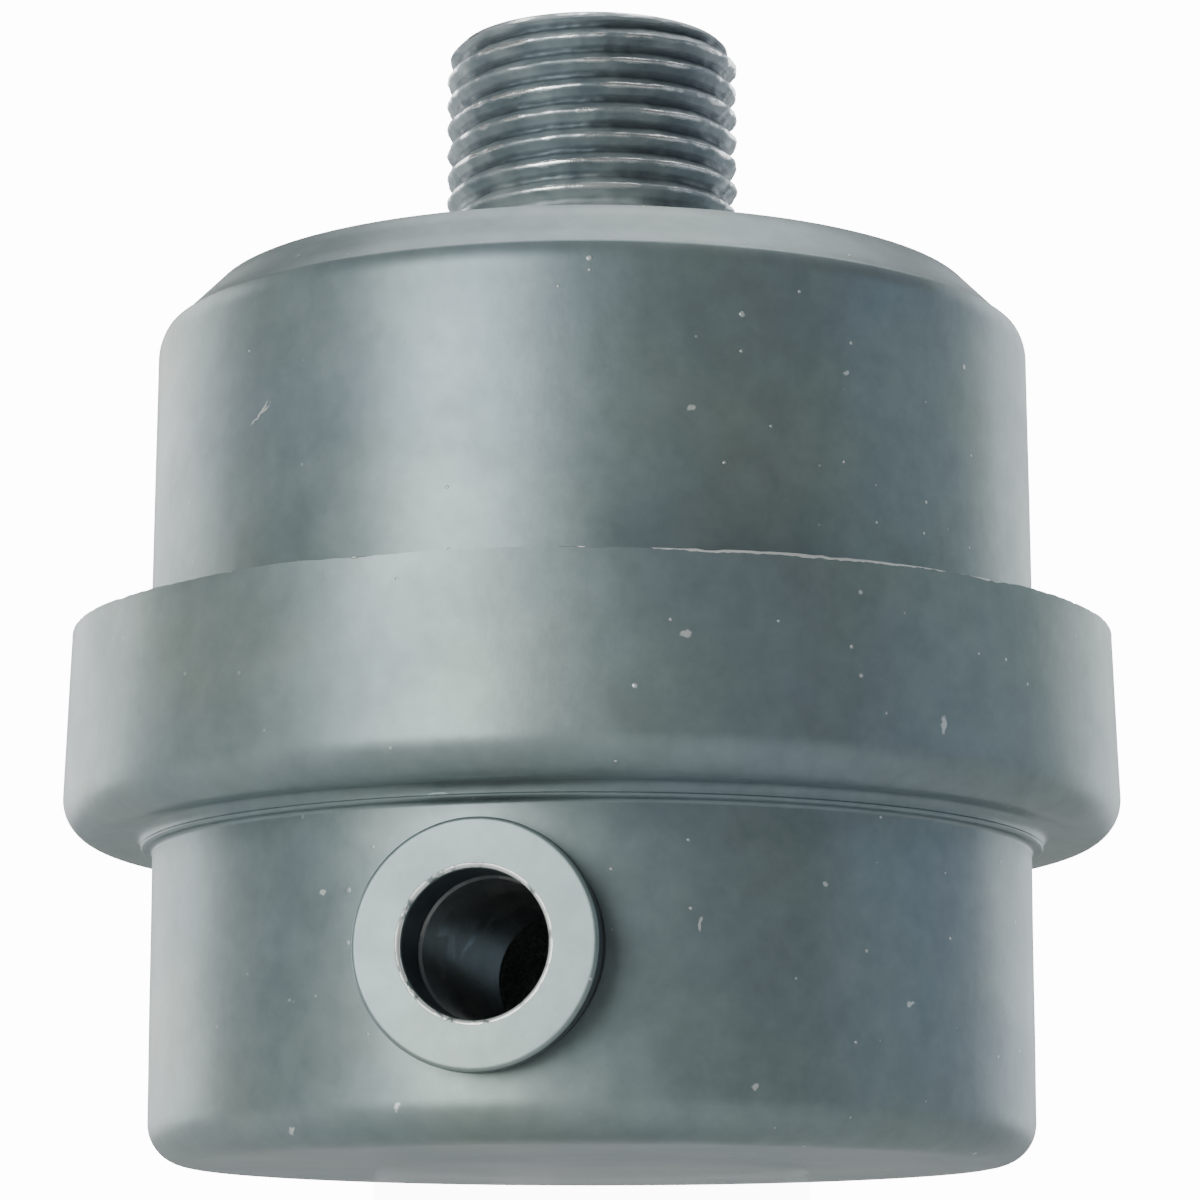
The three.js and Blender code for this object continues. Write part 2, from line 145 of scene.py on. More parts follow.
# Small marks in the paint: bearing in degrees to the right of the front, height, length, width
# and slope in degrees
MARKS = [
    (-45.3, 48.5, 2.3, 0.16, 30),
    (-44.6, 48.9, 1.3, 0.12, 48),
    (-34.2, 16.4, 0.5, 0.40, 0),
    (-23.4, 2.6, 0.6, 0.45, 60),
    (20.1, 3.8, 0.5, 0.40, 20),
    (38.0, 26.6, 1.1, 0.35, 80),
    (12.4, 47.0, 0.6, 0.40, 40),
    (9.6, 31.3, 0.6, 0.40, 0),
    (29.7, 16.8, 0.4, 0.35, 0),
    (42.7, 9.5, 0.7, 0.30, 15),
    (-39.5, 1.4, 0.8, 0.30, 25),
    (13.4, 13.9, 0.9, 0.22, 85),
    (33.1, 50.3, 0.4, 0.30, 0),
]


# ---------------------------------------------------------------- outlines

def arc(r, z, radius, start, end, steps):
    """Points on an arc round (r, z), with its angles in degrees anticlockwise from +r."""
    turns = [math.radians(start + (end - start) * i / steps) for i in range(steps + 1)]
    return [(r + radius * math.cos(t), z + radius * math.sin(t)) for t in turns]


def left_normal(a, b):
    """The unit vector to the left of the way from a to b."""
    along = (Vector(b) - Vector(a)).normalized()
    return Vector((-along.y, along.x))


def offset_line(line, distance, closed=False):
    """A line moved to its left by a distance, with mitred corners."""
    moved = []
    last = len(line) - 1
    for i, here in enumerate(line):
        before = line[i - 1] if i > 0 or closed else None
        after = line[(i + 1) % len(line)] if i < last or closed else None
        first = left_normal(before, here) if before else left_normal(here, after)
        second = left_normal(here, after) if after else first
        mitre = (first + second) * (distance / (1 + first.dot(second)))
        moved.append((here[0] + mitre.x, here[1] + mitre.y))
    return moved


def subdivided(line, step):
    """The line with points added so that none is further than a step from the next."""
    points = [line[0]]
    for a, b in zip(line, line[1:]):
        count = max(1, math.ceil(math.dist(a, b) / step))
        points += [(a[0] + (b[0] - a[0]) * i / count, a[1] + (b[1] - a[1]) * i / count)
                   for i in range(1, count + 1)]
    return points


def sheet_section(line, thickness):
    """The section of a sheet with its outer surface on a line and its inner surface to the left."""
    return line + offset_line(line, thickness)[::-1]


# ---------------------------------------------------------------- meshes

def polar(r, angle, z):
    """A mesh point from a radius, an angle and a height in millimetres."""
    return (r * math.cos(angle) * MM, r * math.sin(angle) * MM, z * MM)


def mesh_object(name, mesh, sharp=40):
    """A Blender object made from a finished bmesh, smooth but for its sharp edges."""
    data = bpy.data.meshes.new(name)
    mesh.to_mesh(data)
    mesh.free()
    data.shade_smooth()
    data.set_sharp_from_angle(angle=math.radians(sharp))
    piece = bpy.data.objects.new(name, data)
    bpy.context.scene.collection.objects.link(piece)
    return piece


def add_face(mesh, corners):
    """A face between the corners that differ, if at least three do."""
    distinct = list(dict.fromkeys(corners))
    if len(distinct) > 2:
        mesh.faces.new(distinct)


def revolve(name, section, segments=ROUND, warp=None, sharp=40):
    """A section turned round Z. One that leaves the axis is a closed loop."""
    mesh = bmesh.new()
    rings = []
    for r, z in section:
        if r < 1e-6:
            rings.append([mesh.verts.new((0, 0, z * MM))])
            continue
        circle = []
        for i in range(segments):
            angle = math.tau * i / segments
            here = warp(r, z, angle) if warp else (r, z)
            circle.append(mesh.verts.new(polar(here[0], angle, here[1])))
        rings.append(circle)
    bands = list(zip(rings, rings[1:]))
    if section[0][0] > 1e-6:
        bands.append((rings[-1], rings[0]))
    for low, high in bands:
        for i in range(segments):
            j = (i + 1) % segments
            add_face(mesh, [low[i % len(low)], low[j % len(low)], high[j % len(high)], high[i % len(high)]])
    return mesh_object(name, mesh, sharp)


def ring(name, inner, outer, bottom, top, edge, segments=ROUND):
    """A plain ring with eased edges or, with no inner radius, a disc."""
    outside = [(outer - edge, bottom), (outer, bottom + edge), (outer, top - edge), (outer - edge, top)]
    if inner < 1e-6:
        section = [(0, bottom)] + outside + [(0, top)]
    else:
        inside = [(inner + edge, top), (inner, top - edge), (inner, bottom + edge), (inner + edge, bottom)]
        section = outside + inside
    return revolve(name, section, segments)


def ripple(r, z, angle, size, seed):
    """Smooth noise from -1 to 1 over the surface, with features about that many millimetres wide."""
    place = Vector((r * math.cos(angle), r * math.sin(angle), z)) / size
    return noise.noise(place + Vector((seed, seed * 1.7, seed * 0.6)))


def boolean(piece, tool, operation, use_self=False):
    """Cuts a tool out of a piece, or joins it on, and removes the tool."""
    step = piece.modifiers.new("step", "BOOLEAN")
    step.operation = operation
    step.solver = "EXACT"
    step.use_self = use_self
    step.object = tool
    bpy.context.view_layer.update()
    result = piece.evaluated_get(bpy.context.evaluated_depsgraph_get())
    piece.data = bpy.data.meshes.new_from_object(result)
    piece.modifiers.clear()
    bpy.data.objects.remove(tool)


def stand_in(piece, node, material):
    """Puts a finished piece in the place of its CAD node."""
    piece.data.materials.clear()
    piece.data.materials.append(material)
    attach(piece, BODY_OF[node])
    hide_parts(node)
    return piece


def inlet_matrix():
    """Turns a piece made round Z so that its +Z points out through the inlet."""
    turn = Vector((0, 0, 1)).rotation_difference(INLET_AXIS).to_matrix().to_4x4()
    return Matrix.Translation((0, 0, INLET_Z * MM)) @ turn


# ---------------------------------------------------------------- material tools

def new_material(name):
    """An empty material and its node tree."""
    material = bpy.data.materials.new(name)
    material.use_nodes = True
    return material, material.node_tree


def feed(tree, socket, value):
    """Links a socket to another node's output, or sets its own value."""
    if isinstance(value, bpy.types.NodeSocket):
        tree.links.new(value, socket)
    elif value is not None:
        socket.default_value = value


def add(tree, kind, output=0, settings=None, **inputs):
    """A new node with its settings and inputs, by its output."""
    node = tree.nodes.new("ShaderNode" + kind)
    for name, value in (settings or {}).items():
        setattr(node, name, value)
    for name, value in inputs.items():
        feed(tree, node.inputs[name.replace("_", " ")], value)
    return node.outputs[output]


def place_of(tree):
    """The object's own coordinates."""
    return add(tree, "TexCoord", output="Object")


def grain(tree, size, detail, roughness=0.5, place=None):
    """Noise from 0 to 1 with features about that many millimetres wide."""
    return add(tree, "TexNoise", Vector=place or place_of(tree), Scale=1 / (size * MM),
               Detail=detail, Roughness=roughness)


def stretched(tree, x, y, z):
    """The object's own coordinates, multiplied along each axis."""
    return add(tree, "Mapping", Vector=place_of(tree), Scale=(x, y, z))


def between(tree, value, low, high, to_low=0.0, to_high=1.0):
    """A value carried from one range to another, and held inside it."""
    node = tree.nodes.new("ShaderNodeMapRange")
    feed(tree, node.inputs["Value"], value)
    for name, number in (("From Min", low), ("From Max", high), ("To Min", to_low), ("To Max", to_high)):
        feed(tree, node.inputs[name], number)
    return node.outputs["Result"]


def maths(tree, operation, a, b):
    """The result of one operation on two values."""
    node = tree.nodes.new("ShaderNodeMath")
    node.operation = operation
    feed(tree, node.inputs[0], a)
    feed(tree, node.inputs[1], b)
    return node.outputs[0]


def turned(tree, a, b, turn):
    """The sum of a and b, each times its share of a direction."""
    first = maths(tree, "MULTIPLY", a, math.cos(turn))
    second = maths(tree, "MULTIPLY", b, math.sin(turn))
    return maths(tree, "ADD", first, second)


def shaken(tree, size, detail, reach):
    """The object's own coordinates, shaken by noise as far as a reach in millimetres."""
    jitter = add(tree, "TexNoise", output="Color", Vector=place_of(tree), Scale=1 / (size * MM),
                 Detail=detail)
    moved = add(tree, "VectorMath", settings={"operation": "MULTIPLY_ADD"})
    feed(tree, moved.node.inputs[0], jitter)
    moved.node.inputs[1].default_value = (reach * MM, reach * MM, reach * MM)
    feed(tree, moved.node.inputs[2], place_of(tree))
    return moved


def mixed(tree, factor, a, b, blend="MIX"):
    """Two colours mixed by a factor."""
    node = tree.nodes.new("ShaderNodeMix")
    node.data_type = "RGBA"
    node.blend_type = blend
    feed(tree, node.inputs[0], factor)
    feed(tree, node.inputs[6], a)
    feed(tree, node.inputs[7], b)
    return node.outputs[2]


def bump(tree, height, depth, normal=None):
    """A surface normal from a height from 0 to 1 and its depth in millimetres."""
    return add(tree, "Bump", Height=height, Distance=depth * MM, Strength=1.0, Normal=normal)


def spots(tree, spacing, radius, share):
    """A mask of small round spots, on a share of the cells of a random grid."""
    cell = tree.nodes.new("ShaderNodeTexVoronoi")
    feed(tree, cell.inputs["Vector"], place_of(tree))
    cell.inputs["Scale"].default_value = 1 / (spacing * MM)
    near = between(tree, cell.outputs["Distance"], radius / spacing, 0.6 * radius / spacing)
    shade = add(tree, "SeparateColor", output="Red", Color=cell.outputs["Color"])
    return maths(tree, "MULTIPLY", near, maths(tree, "GREATER_THAN", shade, 1 - share))


def colour(r, g, b):
    """An opaque colour."""
    return (r, g, b, 1.0)


def one_mark(tree, around, height, bearing, at, length, width, slope):
    """A mask of one short streak, from its distances along and across it."""
    aside = maths(tree, "SUBTRACT", around, math.radians(bearing))
    aside = maths(tree, "MULTIPLY", aside, LOWER_RADIUS * MM)
    above = maths(tree, "SUBTRACT", height, at * MM)
    along = turned(tree, aside, above, math.radians(slope))
    across = turned(tree, above, aside, math.radians(-slope))
    along = maths(tree, "POWER", maths(tree, "DIVIDE", along, length / 2 * MM), 2.0)
    across = maths(tree, "POWER", maths(tree, "DIVIDE", across, width / 2 * MM), 2.0)
    return between(tree, maths(tree, "ADD", along, across), 1.3, 0.5)


def paint_marks(tree):
    """All the small marks, with ragged edges."""
    split = add(tree, "SeparateXYZ", Vector=shaken(tree, 0.5, 2.0, 0.5)).node
    toward = maths(tree, "MULTIPLY", split.outputs["Y"], -1.0)
    around = maths(tree, "ARCTAN2", split.outputs["X"], toward)
    total = 0.0
    for bearing, at, length, width, slope in MARKS:
        mark = one_mark(tree, around, split.outputs["Z"], bearing, at, length, width, slope)
        total = maths(tree, "MAXIMUM", total, mark)
    return total


# ---------------------------------------------------------------- materials

def satin_paint(name, tone=1.0):
    """Grey stoving enamel over steel: cloudy tone, fine orange peel, pale nibs, bare worn edges partly
    painted as a highlight, and painted shade, near-black, where the mesh marks it.
    """
    material, tree = new_material(name)
    shader = tree.nodes["Principled BSDF"]
    green = colour(0.262 * tone, 0.326 * tone, 0.307 * tone)
    blue = colour(0.235 * tone, 0.295 * tone, 0.325 * tone)
    cloud = between(tree, grain(tree, 26, 3.0, 0.6), 0.35, 0.65)
    base = mixed(tree, cloud, green, blue)
    mottle = between(tree, grain(tree, 2.2, 3.0, 0.65), 0.3, 0.7, 0.90, 1.07)
    shade = add(tree, "CombineColor", Red=mottle, Green=mottle, Blue=mottle)
    base = mixed(tree, 1.0, base, shade, "MULTIPLY")
    nibs = maths(tree, "MAXIMUM", spots(tree, 3.6, 0.21, 0.45), spots(tree, 1.7, 0.13, 0.45))
    across = add(tree, "SeparateXYZ", output="X", Vector=place_of(tree))
    nibs = maths(tree, "MULTIPLY", nibs, between(tree, across, -14 * MM, 4 * MM, 0.25, 1.0))
    marks = maths(tree, "MAXIMUM", nibs, paint_marks(tree))
    base = mixed(tree, maths(tree, "MULTIPLY", marks, 0.75), base, colour(0.85, 0.88, 0.86))
    painted_shade = add(tree, "Attribute", output="Fac", settings={"attribute_name": "painted_shade"})
    # painted shade: near-black where the mesh marks shade, in the inlet's bore and on the bush flange's
    # shaded edge
    base = mixed(tree, painted_shade, base, colour(0.045, 0.06, 0.07))
    wear_and_highlight = add(tree, "Attribute", output="Fac", settings={"attribute_name": "wear_and_highlight"})
    ragged = maths(tree, "ADD", wear_and_highlight, maths(tree, "MULTIPLY", grain(tree, 0.9, 2.0), 0.7))
    chips_and_highlight = between(tree, ragged, 0.86, 0.96)
    # bare-metal chips on the rims, and a painted highlight: near-white along the collar's front right and
    # round the bush's bore
    base = mixed(tree, chips_and_highlight, base, colour(0.9, 0.92, 0.9))
    feed(tree, shader.inputs["Base Color"], base)
    feed(tree, shader.inputs["Metallic"], between(tree, painted_shade, 0, 1, 0.6, 0.0))
    rough = between(tree, grain(tree, 9, 4.0, 0.6), 0.3, 0.7, 0.36, 0.46)
    feed(tree, shader.inputs["Roughness"], rough)
    peel = bump(tree, grain(tree, 0.8, 2.0), 0.010)
    raised = bump(tree, nibs, 0.05, peel)
    feed(tree, shader.inputs["Normal"], bump(tree, chips_and_highlight, -0.06, raised))
    return material


def nipple_steel():
    """Plated steel with a painted highlight along the crests, painted shade in the roots and paint blown
    over the lower turns.
    """
    material, tree = new_material("nipple_steel")
    shader = tree.nodes["Principled BSDF"]
    crest = add(tree, "Attribute", output="Fac", settings={"attribute_name": "crest"})
    height = add(tree, "SeparateXYZ", output="Z", Vector=place_of(tree))
    cloud = between(tree, grain(tree, 3.0, 3.0), 0.35, 0.65)
    steel = mixed(tree, cloud, colour(0.27, 0.32, 0.35), colour(0.42, 0.47, 0.49))
    # painted shade: the thread's roots darker than its crests
    root_shade = colour(0.10, 0.125, 0.14)
    base = mixed(tree, between(tree, crest, 0.0, 0.35), root_shade, steel)
    # painted highlight: near-white glints along the crests, broken by noise
    edge = maths(tree, "ADD", crest, maths(tree, "MULTIPLY", grain(tree, 2.2, 3.0), 1.1))
    base = mixed(tree, between(tree, edge, 1.44, 1.58), base, colour(0.94, 0.96, 0.96))
    patch = maths(tree, "ADD", height, maths(tree, "MULTIPLY", grain(tree, 4.0, 3.0), 0.012))
    sprayed = between(tree, patch, (THREAD_START_Z + 11.0) * MM, (THREAD_START_Z + 6.5) * MM)
    base = mixed(tree, maths(tree, "MULTIPLY", sprayed, 0.8), base, colour(0.42, 0.47, 0.47))
    feed(tree, shader.inputs["Base Color"], base)
    feed(tree, shader.inputs["Metallic"], between(tree, sprayed, 0.0, 1.0, 0.85, 0.4))
    rough = between(tree, grain(tree, 0.9, 3.0), 0.3, 0.7, 0.42, 0.66)
    feed(tree, shader.inputs["Roughness"], between(tree, edge, 1.40, 1.58, rough, 0.22))
    scuffs = grain(tree, 0.5, 3.0, 0.6, stretched(tree, 1.0, 1.0, 3.0))
    feed(tree, shader.inputs["Normal"], bump(tree, scuffs, 0.03))
    return material


def zinc_plate():
    """Bright zinc with its faint crystal patches and drawing marks."""
    material, tree = new_material("zinc_plated")
    shader = tree.nodes["Principled BSDF"]
    cell = tree.nodes.new("ShaderNodeTexVoronoi")
    feed(tree, cell.inputs["Vector"], place_of(tree))
    cell.inputs["Scale"].default_value = 1 / (2.6 * MM)
    shade = add(tree, "SeparateColor", output="Red", Color=cell.outputs["Color"])
    base = mixed(tree, between(tree, shade, 0, 1), colour(0.55, 0.57, 0.58), colour(0.7, 0.71, 0.7))
    feed(tree, shader.inputs["Base Color"], base)
    shader.inputs["Metallic"].default_value = 0.95
    feed(tree, shader.inputs["Roughness"], between(tree, shade, 0, 1, 0.28, 0.42))
    feed(tree, shader.inputs["Normal"], bump(tree, grain(tree, 0.4, 3.0, 0.6), 0.01))
    return material


def black_rubber():
    """Moulded rubber with a fine dull grain and a dusting of talc."""
    material, tree = new_material("black_rubber")
    shader = tree.nodes["Principled BSDF"]
    dust = between(tree, grain(tree, 5.0, 5.0, 0.7), 0.45, 0.75)
    base = mixed(tree, dust, colour(0.018, 0.019, 0.02), colour(0.06, 0.06, 0.058))
    feed(tree, shader.inputs["Base Color"], base)
    feed(tree, shader.inputs["Roughness"], between(tree, dust, 0, 1, 0.6, 0.85))
    feed(tree, shader.inputs["Normal"], bump(tree, grain(tree, 0.35, 3.0), 0.02))
    return material


def wool_felt():
    """Pressed felt: long tangled fibres of mixed greys."""
    material, tree = new_material("felt")
    shader = tree.nodes["Principled BSDF"]
    fibres = grain(tree, 0.25, 4.0, 0.7, shaken(tree, 2.5, 2.0, 2.0))
    tone = between(tree, grain(tree, 1.6, 3.0), 0.3, 0.7)
    base = mixed(tree, tone, colour(0.34, 0.33, 0.29), colour(0.5, 0.48, 0.42))
    base = mixed(tree, between(tree, fibres, 0.35, 0.65), base, colour(0.66, 0.64, 0.58))
    feed(tree, shader.inputs["Base Color"], base)
    shader.inputs["Roughness"].default_value = 0.95
    shader.inputs["Sheen Weight"].default_value = 0.4
    feed(tree, shader.inputs["Normal"], bump(tree, fibres, 0.25))
    return material


def filter_paper():
    """Resin-treated filter paper, with pale fibres and a faint crepe."""
    material, tree = new_material("filter_paper")
    shader = tree.nodes["Principled BSDF"]
    fibres = grain(tree, 0.3, 4.0, 0.7)
    cloud = between(tree, grain(tree, 6.0, 3.0), 0.3, 0.7)
    base = mixed(tree, cloud, colour(0.62, 0.5, 0.28), colour(0.7, 0.59, 0.36))
    base = mixed(tree, between(tree, fibres, 0.4, 0.7, 0.0, 0.5), base, colour(0.8, 0.71, 0.5))
    feed(tree, shader.inputs["Base Color"], base)
    shader.inputs["Roughness"].default_value = 0.85
    crepe = grain(tree, 0.8, 2.0, 0.5, stretched(tree, 1.0, 1.0, 4.0))
    feed(tree, shader.inputs["Normal"], bump(tree, crepe, 0.08, bump(tree, fibres, 0.05)))
    return material


def moulded(name, low, high, rough, peel):
    """Poured plastic or rubber whose colour drifts between two, with a faint skin."""
    material, tree = new_material(name)
    shader = tree.nodes["Principled BSDF"]
    drift = between(tree, grain(tree, 7.0, 4.0, 0.6), 0.3, 0.7)
    feed(tree, shader.inputs["Base Color"], mixed(tree, drift, low, high))
    patchy = between(tree, grain(tree, 1.5, 3.0), 0.3, 0.7, rough, rough + 0.15)
    feed(tree, shader.inputs["Roughness"], patchy)
    feed(tree, shader.inputs["Normal"], bump(tree, grain(tree, 0.9, 3.0), peel))
    return material


# ---------------------------------------------------------------- lower case

def rim_cut(angle):
    """How far the trimmed rim of the collar dips, in millimetres."""
    wave = 0.10 * (1 + ripple(COLLAR_RADIUS, 0, angle, 7.0, 3.0))
    teeth = 0.16 * max(0.0, ripple(COLLAR_RADIUS, 0, angle, 0.9, 8.0))
    return wave + teeth


def lower_shell_line(step):
    """A line up the cup, from the middle of its base to its rim, with a step in the waist."""
    corner_r = COLLAR_RADIUS - COLLAR_CORNER
    rim_r = COLLAR_RADIUS - COLLAR_TAPER
    base = [(0, 0)] + arc(LOWER_RADIUS - BASE_CORNER, BASE_CORNER, BASE_CORNER, -90, 0, 12)
    under = arc(LOWER_RADIUS + 1.64, WAIST_Z + 0.28, 0.9, 170, 90 + UNDERSIDE_SLOPE, 6)
    side = arc(corner_r, COLLAR_CORNER_Z, COLLAR_CORNER, UNDERSIDE_SLOPE - 90, 0, 14)
    rim = [(rim_r, COLLAR_TOP - 0.4), (rim_r, COLLAR_TOP)]
    return base + step + under + side + rim


def waist_step():
    """The groove and the small step under the collar, on the outer surface only."""
    bend = 0.3
    groove = arc(LOWER_RADIUS + bend, WAIST_Z - 0.2, bend, 180, 90, 4)
    return groove + arc(LOWER_RADIUS + 0.5, WAIST_Z + 0.4, bend, -90, -10, 6)


def lower_shell(paint):
    """The drawn cup with its collar, a trimmed rim and a hole for the inlet."""
    outside = subdivided(lower_shell_line(waist_step()), 1.5)
    inside = offset_line(subdivided(lower_shell_line([]), 1.5), SHEET)
    section = outside + inside[::-1]

    def warp(r, z, angle):
        at_rim = max(0.0, 1 - (COLLAR_TOP - z) / 1.2) if r > LOWER_RADIUS + SHEET else 0.0
        wobble = 0.05 * ripple(r, z, angle, 16.0, 5.0)
        return r - abs(wobble), z - at_rim * rim_cut(angle)

    shell = revolve("lower_shell_drawn", section, 384, warp)
    mark_wear_and_highlight(shell)
    cut_inlet_hole(shell)
    return stand_in(shell, "lower_shell", paint)


def mark_wear_and_highlight(piece):
    """Stores how worn each point of the rim is, most of all to the right of the front, where the pale worn
    line is also a painted highlight.
    """
    wear_and_highlight = piece.data.attributes.new("wear_and_highlight", "FLOAT", "POINT")
    for vertex, value in zip(piece.data.vertices, wear_and_highlight.data):
        place = vertex.co / MM
        angle = math.atan2(place.y, place.x)
        at_rim = place.z > COLLAR_TOP - rim_cut(angle) - 0.05
        side = math.exp(-((angle - math.radians(WORN_AND_LIT_BEARING)) / 0.38) ** 2)
        patchy = 0.30 * ripple(COLLAR_RADIUS, 0, angle, 4.0, 2.0)
        value.value = 0.36 + 0.56 * side + patchy if at_rim else 0.0


def cut_inlet_hole(shell):
    """Cuts the hole that the bush's neck passes through."""
    drill = ring("inlet_drill", 0, NECK_RADIUS + GAP, NECK_END, INLET_FACE, 0.01, 96)
    drill.matrix_world = inlet_matrix()
    boolean(shell, drill, "DIFFERENCE")


def inlet_piece(piece, node, material):
    """Turns a piece made round Z into the inlet's place, and puts it in for its CAD node."""
    piece.data.transform(inlet_matrix())
    return stand_in(piece, node, material)


def inlet_bush(paint):
    """A flanged bush with a socket for the tube at the inner end of its neck."""
    back = INLET_FACE - INLET_FLANGE
    shoulder = NECK_END + TUBE_SOCKET
    lip = 0.3
    section = [(INLET_BORE, shoulder), (TUBE_RADIUS + GAP, shoulder), (TUBE_RADIUS + GAP, NECK_END)]
    section += [(NECK_RADIUS - lip, NECK_END), (NECK_RADIUS, NECK_END + lip)]
    section += [(NECK_RADIUS, back)] + arc(INLET_FLANGE_RADIUS - 0.2, back + 0.2, 0.2, -90, 0, 4)
    section += arc(INLET_FLANGE_RADIUS - lip, INLET_FACE - lip, lip, 0, 90, 6)
    section += [(INLET_FLANGE_RADIUS - lip - 0.1, INLET_FACE), (INLET_BORE + 0.45, INLET_FACE)]
    section += arc(INLET_BORE + lip, INLET_FACE - lip, lip, 90, 180, 5)
    section += [(INLET_BORE, INLET_FACE - 0.5)]
    bush = revolve("inlet_bush_turned", section, 160, sharp=50)
    mark_bush(bush)
    return inlet_piece(bush, "inlet_bush", paint)


def mark_bush(bush):
    """Stores where shade is painted near-black, in the bore and on the flange's edge, and the painted
    highlight on the lip round the bore.
    """
    painted_shade = bush.data.attributes.new("painted_shade", "FLOAT", "POINT")
    wear_and_highlight = bush.data.attributes.new("wear_and_highlight", "FLOAT", "POINT")
    for vertex, painted_dark, worn in zip(bush.data.vertices, painted_shade.data, wear_and_highlight.data):
        place = vertex.co / MM
        radius = math.hypot(place.x, place.y)
        # painted shade: the bore's wall and the flange's edge, both in shade, are marked to be painted
        # near-black
        inside = radius < INLET_BORE + 0.02 and place.z < INLET_FACE - 0.4
        edge = radius > INLET_FLANGE_RADIUS - 0.12 and place.z < INLET_FACE - 0.2
        lip = INLET_BORE + 0.05 < radius < INLET_BORE + 0.35 and place.z > INLET_FACE - 0.3
        painted_dark.value = 1.0 if inside or edge else 0.0
        # painted highlight: a bright line on the lip round the bore
        worn.value = 0.62 if lip else 0.0


def inlet_gasket(rubber):
    """A ring with a flat front, its back following the curve of the wall."""
    front = INLET_FACE - INLET_FLANGE - GAP
    inner = NECK_RADIUS + 2 * GAP
    outer = INLET_FLANGE_RADIUS - GAP
    back = front - outer
    section = subdivided([(inner, back), (outer, back), (outer, front), (inner, front)], 0.5)
    gasket = revolve("inlet_gasket_moulded", section, 128)
    across = inlet_matrix().to_3x3() @ Vector((1, 0, 0))
    wall = LOWER_RADIUS + 0.1
    for vertex in gasket.data.vertices:
        side = vertex.co.x / MM if abs(across.z) < 0.5 else vertex.co.y / MM
        seat = math.sqrt(wall ** 2 - side ** 2)
        vertex.co.z = max(vertex.co.z, seat * MM)
    return inlet_piece(gasket, "inlet_gasket", rubber)


def inlet_retaining_ring(zinc):
    """The ring pushed on to the neck, its edge against the inside of the wall."""
    reach = LOWER_RADIUS - SHEET
    seat = math.sqrt(reach ** 2 - INLET_FLANGE_RADIUS ** 2) - GAP
    clip = ring("inlet_clip", NECK_RADIUS + 0.05, INLET_FLANGE_RADIUS, seat - CAP_SHEET, seat, 0.12, 128)
    return inlet_piece(clip, "inlet_retaining_ring", zinc)


def inlet_tube(zinc):
    """The rolled tube that carries the air into the chamber."""
    end = NECK_END + TUBE_SOCKET - GAP
    tube = ring("inlet_tube_rolled", TUBE_BORE, TUBE_RADIUS, TUBE_END, end, 0.18, 128)
    return inlet_piece(tube, "inlet_tube", zinc)


def felt_roughness(r, z, angle, seed):
    """How far the face of a felt piece lies inside its true place, in millimetres."""
    return 0.3 * abs(ripple(r, z, angle, 2.6, seed))


def felt_strip(outer, low, high, step):
    """The section of a felt strip, with points all round it."""
    inner = outer - FELT
    return subdivided([(outer, low), (outer, high), (inner, high), (inner, low), (outer, low)], step)[:-1]


def lower_felt_pad(felt):
    """A disc of felt with a soft edge and an uneven top."""
    low, high = corner("lower_felt_pad", False), corner("lower_felt_pad", True)
    edge = 0.6
    outline = arc(high.x - edge, high.z - edge, edge, 0, 90, 4)
    section = subdivided([(0, low.z), (high.x, low.z)] + outline + [(0, high.z)], FELT_STEP)

    def warp(r, z, angle):
        top = 0.25 * abs(ripple(r, z, angle, 2.6, 21.0)) if z > low.z + 0.5 else 0.0
        return r, z - top

    return stand_in(revolve("lower_felt_pad_cut", section, 192, warp), "lower_felt_pad", felt)


def lower_felt_liner(felt):
    """The strip of felt round the wall, its ends hollowed round the inlet's ring."""
    low, high = corner("lower_felt_liner", False), corner("lower_felt_liner", True)
    outer = LOWER_RADIUS - SHEET - GAP
    section = felt_strip(outer, low.z, high.z, FELT_STEP)
    mesh = bmesh.new()
    facing = math.atan2(INLET_AXIS.y, INLET_AXIS.x)
    clear = INLET_FLANGE_RADIUS + 2 * GAP
    columns = 220
    rows = []
    for i in range(columns + 1):
        share = 2 * i / columns - 1
        row = []
        for r, z in section:
            lift = z - INLET_Z
            notch = math.asin(math.sqrt(max(0.0, clear ** 2 - lift ** 2)) / r)
            notch = max(notch, 1.5 / r)
            angle = facing + math.pi + share * (math.pi - notch)
            rough = felt_roughness(r, z, angle, 33.0)
            row.append(mesh.verts.new(polar(r + (rough if r < outer - 1 else -rough), angle, z)))
        rows.append(row)
    count = len(section)
    for here, after in zip(rows, rows[1:]):
        for k in range(count):
            mesh.faces.new([here[k], after[k], after[(k + 1) % count], here[(k + 1) % count]])
    mesh.faces.new(rows[0])
    mesh.faces.new(rows[-1][::-1])
    return stand_in(mesh_object("lower_felt_liner_cut", mesh), "lower_felt_liner", felt)


def hole_circle(x, y, radius, count):
    """A drilled hole's corners, clockwise."""
    return [(x + radius * math.cos(math.tau * i / count), y - radius * math.sin(math.tau * i / count))
            for i in range(count)]


